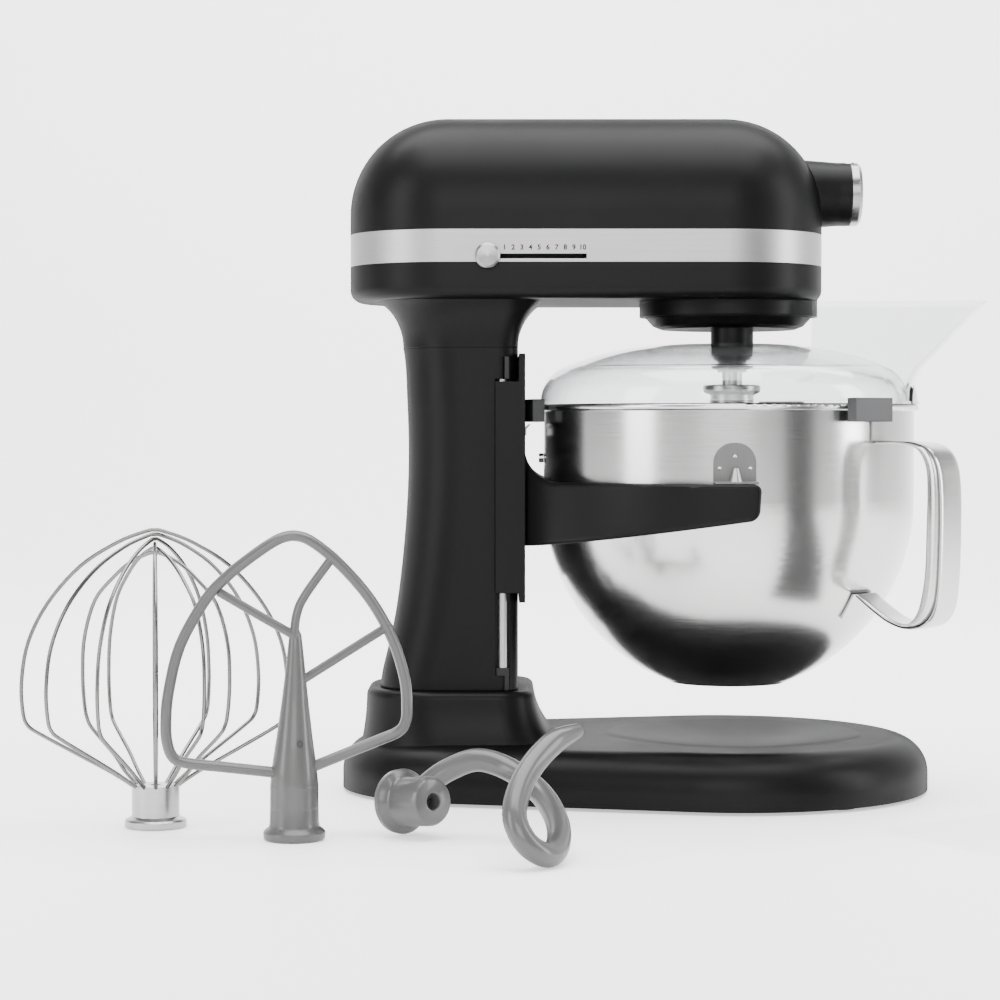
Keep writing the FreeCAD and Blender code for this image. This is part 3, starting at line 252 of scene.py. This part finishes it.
def as_mesh(name, vertices, faces, look, body, replaced=()):
    """A smooth mesh piece that rides on a body."""
    mesh = bpy.data.meshes.new(name)
    mesh.from_pydata([tuple(v) for v in vertices], [], faces)
    mesh.validate()
    fix = bmesh.new()
    fix.from_mesh(mesh)
    bmesh.ops.recalc_face_normals(fix, faces=fix.faces)
    fix.to_mesh(mesh)
    fix.free()
    piece = bpy.data.objects.new(name, mesh)
    bpy.context.scene.collection.objects.link(piece)
    mesh.materials.append(LOOKS[look])
    smooth(piece, 40)
    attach(piece, body)
    if replaced:
        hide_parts(*replaced)
    return piece


def spline(points, steps):
    """Points along a Catmull-Rom curve through the given points."""
    spots = [Vector(p) for p in points]
    spots = [2 * spots[0] - spots[1]] + spots + [2 * spots[-1] - spots[-2]]
    out = []
    for a, b, c, d in zip(spots, spots[1:], spots[2:], spots[3:]):
        for i in range(steps):
            t = i / steps
            out.append(0.5 * ((2 * b) + (c - a) * t + (2 * a - 5 * b + 4 * c - d) * t * t
                              + (3 * b - a - 3 * c + d) * t ** 3))
    out.append(spots[-2])
    return out


def sweep(path, radii, sides=14, flat=1.0, up=Vector((0, 1, 0)), closed=False):
    """Vertices and faces of a bar along a path; flat scales it along the up direction."""
    vertices = []
    count = len(path)
    for i, spot in enumerate(path):
        before = path[i - 1] if i or closed else path[i]
        after = path[(i + 1) % count] if i < count - 1 or closed else path[i]
        ahead = (after - before).normalized()
        side = ahead.cross(up).normalized()
        lift = side.cross(ahead).normalized()
        radius = radii[i] if isinstance(radii, list) else radii
        for k in range(sides):
            angle = 2 * math.pi * k / sides
            vertices.append(spot + side * radius * math.cos(angle) + lift * radius * flat * math.sin(angle))
    faces = []
    for i in range(count if closed else count - 1):
        a, b = i * sides, ((i + 1) % count) * sides
        for k in range(sides):
            faces.append((a + k, a + (k + 1) % sides, b + (k + 1) % sides, b + k))
    if not closed:
        faces.append(tuple(range(sides))[::-1])
        faces.append(tuple(range((count - 1) * sides, count * sides)))
    return vertices, faces


def joined(parts):
    """Several (vertices, faces) as one."""
    vertices, faces = [], []
    for more, more_faces in parts:
        start = len(vertices)
        vertices += more
        faces += [tuple(start + k for k in face) for face in more_faces]
    return vertices, faces


def turned_shape(outline, sides=48):
    """Vertices and faces of a closed outline of (radius, height) turned about Z."""
    vertices, faces = [], []
    count = len(outline)
    for k in range(sides):
        angle = 2 * math.pi * k / sides
        for radius, height in outline:
            vertices.append(Vector((radius * math.cos(angle), radius * math.sin(angle), height)))
    for k in range(sides):
        a, b = k * count, ((k + 1) % sides) * count
        for i in range(count):
            j = (i + 1) % count
            faces.append((a + i, b + i, b + j, a + j))
    return vertices, faces


# ---------------------------------------------------------------- wire whips

def whisk_wires(name, spot, flip, body, node):
    """Six nested wire loops, round and springy, held by a hub."""
    parts = []
    for i in range(6):
        drop = 2.6 * i
        side = [(8.5, 17), (11, 22), (24 - drop * 0.3, 31), (40 - drop, 40), (64 - 1.8 * drop, 53.5),
                (71.6 - 2.1 * drop, 59), (74.2 - 2.15 * drop, 67), (74.8 - 2.1 * drop, 84),
                (71 - 1.9 * drop, 106), (60 - 1.6 * drop, 128), (42 - 1.2 * drop, 148.5 - drop * 0.5),
                (21 - drop * 0.4, 162 - drop * 0.9), (5, 168.2 - drop), (0, 169 - drop)]
        points = [(-r * MM, 0, z * MM) for r, z in side] + [(r * MM, 0, z * MM) for r, z in side[-2::-1]]
        path = spline(points, 5)
        turn = Matrix.Rotation(math.pi * i / 6 + math.radians(8), 3, "Z")
        vertices, faces = sweep(path, 1.15 * MM, 10)
        vertices = [turn @ v for v in vertices]
        parts.append((vertices, faces))
    vertices, faces = joined(parts)
    if flip:
        vertices = [Vector((v.x, -v.y, -v.z)) for v in vertices]
    vertices = [v + Vector(spot) for v in vertices]
    return as_mesh(name, vertices, faces, "wire_steel", body, (node,))


whisk_wires("loose_whip_wires", LOOSE_WHISK, False, "loose_whisk", "whisk_wires")
whisk_wires("fitted_whip_wires", FITTED_WHISK, True, "beater", "fitted_whisk_wires")


# ---------------------------------------------------------------- flat beater

def flat_beater():
    """Coated flat beater: heart-shaped frame, tapering stem with a small hole drawn as a dark disc of painted shade,
    and three ribs.
    """
    outline = [(-8, 37), (-40, 41), (-58, 43.2), (-66, 46.5), (-69.4, 55), (-70, 66), (-68.6, 82), (-62.3, 107.6),
               (-48.6, 132.3), (-37, 145), (-26.6, 153.6), (-14, 162.5), (-6, 166.6), (2, 167.4), (11, 163.6),
               (25.5, 151.5), (42, 132.3), (54.3, 110.3), (61.2, 88), (62.4, 72), (61.6, 64), (57.4, 58.6),
               (45, 53.6), (9, 39.6)]
    rim = sweep(spline([(x * MM, 0, z * MM) for x, z in outline], 4), 3.1 * MM, 14, 1.6)
    stem = [(0, 18, 13.4), (0, 30, 13.4), (0, 40, 12.4), (0.2, 55, 10.2), (0.5, 75, 7.6), (0.8, 94, 5.4),
            (0.8, 106, 4.2), (0.8, 113, 3.4), (0.8, 116.5, 1.8)]
    stem_path = [Vector((x * MM, 0, z * MM)) for x, z, r in stem]
    parts = [rim, sweep(stem_path, [r * MM for x, z, r in stem], 24)]
    ribs = [((0.5, 112.5), (-20, 124.5), (-41, 137)), ((0, 112), (1.5, 124), (6, 134.5), (21.5, 156)),
            ((3, 87), (28, 102.5), (54, 118.5))]
    for rib in ribs:
        path = spline([(x * MM, 0, z * MM) for x, z in rib], 6)
        parts.append(sweep(path, 2.5 * MM, 12, 1.6))
    hub = [(6.6, 0), (15.6, 0), (16.9, 1.0), (17.2, 4.5), (16.4, 5.6), (14.0, 7.5), (13.6, 10), (13.2, 30),
           (6.6, 30)]
    parts.append(turned_shape([(r * MM, z * MM) for r, z in hub]))
    vertices, faces = joined(parts)
    # The stem's hole is not cut: a thin dark disc on the stem's surface paints the shade inside it.
    hole_shade_disc = turned_shape([(r * MM, z * MM) for r, z in ((0, 0), (1.7, 0), (1.9, -1.2), (0, -1.2))], 20)
    tilt = Matrix.Translation(Vector((2.6, -10.6, 54)) * MM) @ Matrix.Rotation(math.radians(83), 4, "X")
    place = Matrix.Translation(BEATER) @ Matrix.Rotation(BEATER_TURN, 4, "Z")
    as_mesh("stem_hole_painted_shade", [place @ tilt @ v for v in hole_shade_disc[0]], hole_shade_disc[1], "rubber", "loose_beater")
    return as_mesh("coated_flat_beater", [place @ v for v in vertices], faces, "coated_grey", "loose_beater",
                   ("flat_beater",))


flat_beater()


# ---------------------------------------------------------------- dough hook

def dough_hook():
    """Spiral hook lying on the table, its socket turned towards the viewer."""
    route = [(-192, -203, 20), (-182, -203.4, 30.5), (-171, -203, 38), (-155, -205, 43.5), (-137, -212, 38.5),
             (-121, -232, 28.4), (-113, -262, 18), (-113, -288, 9.5), (-119, -305, 6.9), (-129.5, -312, 14),
             (-135.7, -308, 26.5), (-133.3, -296, 39), (-126, -282, 50.6), (-114.5, -268, 60.8), (-101.3, -255, 65.6)]
    path = spline([(x * MM, y * MM, z * MM) for x, y, z in route], 6)
    count = len(path)
    bar_radius, tip_rows = 6.5, 8
    into_tip = [max(0, i - count + tip_rows) for i in range(count)]
    radii = [(bar_radius - 0.12 * steps ** 1.6) * MM for steps in into_tip]
    bar = sweep(path, radii, 20, up=Vector((0.3, 0.2, 1)).normalized())
    way = Vector((0.64, -0.76, 0.1)).normalized()
    foot = Vector((-200 * MM, -190 * MM, 18.4 * MM))
    outline = [(6.6, 1), (15.4, 0), (17.8, 1.2), (18.2, 4.6), (17.2, 6), (14.6, 7.6), (13.8, 10), (13.5, 29),
               (12.2, 31.4), (10.4, 32), (5.2, 32), (4.6, 31.4), (4.6, 24), (6.6, 23.6)]
    hub = turned_shape([(r * MM, z * MM) for r, z in outline])
    aim = way.to_track_quat("Z", "Y").to_matrix().to_4x4()
    place = Matrix.Translation(foot) @ aim
    hub = ([place @ v for v in hub[0]], hub[1])
    vertices, faces = joined([bar, hub])
    return as_mesh("spiral_dough_hook", vertices, faces, "coated_grey", "loose_hook", ("dough_hook",))


dough_hook()


# ---------------------------------------------------------------- bowl handle

def handle():
    """Steel strap handle with rounded edges, hollow-looking where it is gripped."""
    outer = [(104.4, 126.0), (117, 117.3), (128, 111), (140, 107.8), (152, 109.4), (160.5, 117), (164, 132),
             (165.4, 160), (165.3, 188), (163.3, 204), (158, 213.4), (148, 218), (134, 218.9), (118.2, 219)]
    inner = [(105.4, 127.2), (118.4, 118.8), (129, 113.2), (140, 111), (147, 118), (150.6, 132), (152.2, 146),
             (152.8, 165), (153.4, 190), (152, 205), (145.5, 214.6), (134, 217.1), (126, 217.4), (118.2, 217.4)]
    steps = 6
    outer_curve, inner_curve = (spline([(r, 0, z) for r, z in line], steps) for line in (outer, inner))
    rows = list(zip(outer_curve, inner_curve))
    half = 11.0
    sides = 16
    parts = []
    for near, far, width in ((0.0, 0.16, half), (0.22, 1.0, half - 0.5)):
        vertices, faces = [], []
        for out, inn in rows:
            top, low = out.lerp(inn, near), out.lerp(inn, far)
            middle = (top + low) * 0.5
            reach = (top - low) * 0.5
            for k in range(sides):
                angle = 2 * math.pi * (k + 0.5) / sides
                across = math.copysign(abs(math.sin(angle)) ** 0.35, math.sin(angle))
                depth = math.copysign(abs(math.cos(angle)) ** 0.55, math.cos(angle))
                vertices.append((middle + reach * depth + Vector((0, width * across, 0))) * MM)
        for i in range(len(rows) - 1):
            for k in range(sides):
                a, b = i * sides, (i + 1) * sides
                faces.append((a + k, a + (k + 1) % sides, b + (k + 1) % sides, b + k))
        faces.append(tuple(range(sides))[::-1])
        faces.append(tuple(range((len(rows) - 1) * sides, len(rows) * sides)))
        parts.append((vertices, faces))
    for low, high, lean in (((115.9, 217.6), (115.9, 230.5), 1.3), ((94.2, 111.8), (103.2, 126.9), 1.5)):
        strip = []
        for i in range(9):
            across = -11 + 22 * i / 8
            for radius, height in (low, high):
                sag = radius - math.sqrt(radius ** 2 - across ** 2)
                strip.append(Vector((radius - sag, across, height)) * MM)
                strip.append(Vector((radius - sag + lean, across, height)) * MM)
        tab_faces = []
        for i in range(8):
            a, b = 4 * i, 4 * (i + 1)
            tab_faces += [(a, a + 2, b + 2, b), (a + 1, b + 1, b + 3, a + 3), (a, b, b + 1, a + 1),
                          (a + 2, a + 3, b + 3, b + 2)]
        tab_faces += [(0, 1, 3, 2), (32, 34, 35, 33)]
        parts.append((strip, tab_faces))
    vertices, faces = joined(parts)
    turn = Matrix.Rotation(HANDLE_TURN, 3, "Z")
    return as_mesh("handle_strap", [turn @ v for v in vertices], faces, "bowl_steel", "lift",
                   ("bowl_handle",))


handle()


# ---------------------------------------------------------------- small details

def speed_scale():
    """Numbers 1 to 10 in dark print above the slot of the speed control."""
    first, last, height = -140.5 * MM, -93.5 * MM, 334.0 * MM
    print_look = paint("printed numbers", (0.008, 0.008, 0.009), 0.6, 0, sheen=0.1)
    for i in range(10):
        words = bpy.data.curves.new(f"number {i + 1}", "FONT")
        words.body = str(i + 1)
        words.size = 4.3 * MM
        words.align_x = "CENTER"
        words.extrude = 0.06 * MM
        words.offset = 0.11 * MM
        words.resolution_u = 3
        words.materials.append(print_look)
        mark = bpy.data.objects.new(f"scale_number_{i + 1}", words)
        bpy.context.scene.collection.objects.link(mark)
        mark.location = (first + (last - first) * i / 9, SLOT_FACE - 0.04 * MM, height)
        mark.rotation_euler = (math.pi / 2, 0, 0)
        bpy.context.view_layer.update()
        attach(mark, "stand")


speed_scale()


def weld_marks():
    """Three shallow weld buttons on the round plate of each bowl bracket."""
    low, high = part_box("bowl_brackets")
    middle = (low[0] + high[0]) / 2
    face = low[1] + 15.4 * MM
    dome = [(0, 0.5), (0.6, 0.4), (1.0, 0), (1.0, -0.3), (0, -0.3)]
    parts = []
    for side in (-1, 1):
        turn = Matrix.Rotation(side * -math.pi / 2, 4, "X")
        for across, height in ((0, 210), (-9, 203), (9, 203)):
            place = Matrix.Translation((middle + across * MM, -side * face, height * MM)) @ turn
            vertices, faces = turned_shape([(r * MM, z * MM) for r, z in dome], 16)
            parts.append(([place @ v for v in vertices], faces))
    vertices, faces = joined(parts)
    as_mesh("bracket_welds", vertices, faces, "bowl_steel", "lift")


weld_marks()


# ---------------------------------------------------------------- stage

def stage():
    """A pale floor that curves up behind, soft lights, a dark card for reflections only, and the camera."""
    depth, width, rise, bend = 2.2, 14.0, 3.0, 1.0
    profile = [(-14.0, 0.0)]
    for i in range(13):
        angle = math.pi / 2 * i / 12
        profile.append((depth + bend * math.sin(angle), bend - bend * math.cos(angle)))
    profile.append((depth + bend, rise))
    vertices = [Vector((side * width, y, z)) for y, z in profile for side in (-1, 1)]
    faces = [(2 * i, 2 * i + 1, 2 * i + 3, 2 * i + 2) for i in range(len(profile) - 1)]
    mesh = bpy.data.meshes.new("floor")
    mesh.from_pydata([tuple(v) for v in vertices], [], faces)
    floor = bpy.data.objects.new("floor", mesh)
    bpy.context.scene.collection.objects.link(floor)
    material, nodes, links, shader = start_material("pale floor")
    shader.inputs["Base Color"].default_value = (0.93, 0.93, 0.93, 1)
    shader.inputs["Roughness"].default_value = 0.55
    shader.inputs["Emission Color"].default_value = (1, 1, 1, 1)
    shader.inputs["Emission Strength"].default_value = 0.75
    mesh.materials.append(material)
    for face in mesh.polygons:
        face.use_smooth = True

    lights = [
        ("top", (0.0, -0.3, 2.2), (0, 0, 0.2), 2.2, 1.6, 95),
        ("left", (-2.2, -1.3, 1.0), (-0.1, 0, 0.2), 0.9, 1.8, 42),
        ("right", (2.1, -0.55, 0.8), (0.05, 0, 0.2), 0.6, 1.8, 42),
        ("front", (-0.3, -3.2, 1.3), (-0.1, 0, 0.2), 1.8, 1.6, 60),
        ("back", (0.0, 1.0, 2.4), (0, 2.6, 0.2), 3.6, 1.2, 150),
    ]
    for name, spot, aim, wide, tall, power in lights:
        data = bpy.data.lights.new(name, "AREA")
        data.shape = "RECTANGLE"
        data.size = wide
        data.size_y = tall
        data.energy = power
        lamp = bpy.data.objects.new(name, data)
        lamp.location = spot
        lamp.rotation_euler = (Vector(aim) - Vector(spot)).to_track_quat("-Z", "Y").to_euler()
        bpy.context.scene.collection.objects.link(lamp)

    flag = bpy.data.meshes.new("black flag")
    flag.from_pydata([(-0.4, 0, -1.2), (0.4, 0, -1.2), (0.4, 0, 1.4), (-0.4, 0, 1.4),
                      (-0.06, -2.2, -1.199), (0.06, -2.2, -1.199)], [], [(0, 1, 2, 3), (0, 1, 5, 4)])
    flag.materials.append(LOOKS["rubber"])
    panel = bpy.data.objects.new("black_flag", flag)
    panel.location = (1.47, -1.87, 1.2)
    panel.rotation_euler = (0, 0, FLAG_TURN)
    bpy.context.scene.collection.objects.link(panel)
    panel.visible_camera = False
    panel.visible_shadow = False
    panel.visible_diffuse = False

    world = bpy.data.worlds.new("studio")
    world.use_nodes = True
    world.node_tree.nodes["Background"].inputs["Color"].default_value = (1, 1, 1, 1)
    world.node_tree.nodes["Background"].inputs["Strength"].default_value = 0.62
    bpy.context.scene.world = world

    data = bpy.data.cameras.new("camera")
    data.lens = 94.46
    data.sensor_width = 36
    camera = bpy.data.objects.new("camera", data)
    camera.location = (-0.1432, -1.650, 0.2267)
    camera.rotation_euler = (math.radians(90 - 1.572), 0, 0)
    bpy.context.scene.collection.objects.link(camera)
    bpy.context.scene.camera = camera


stage()
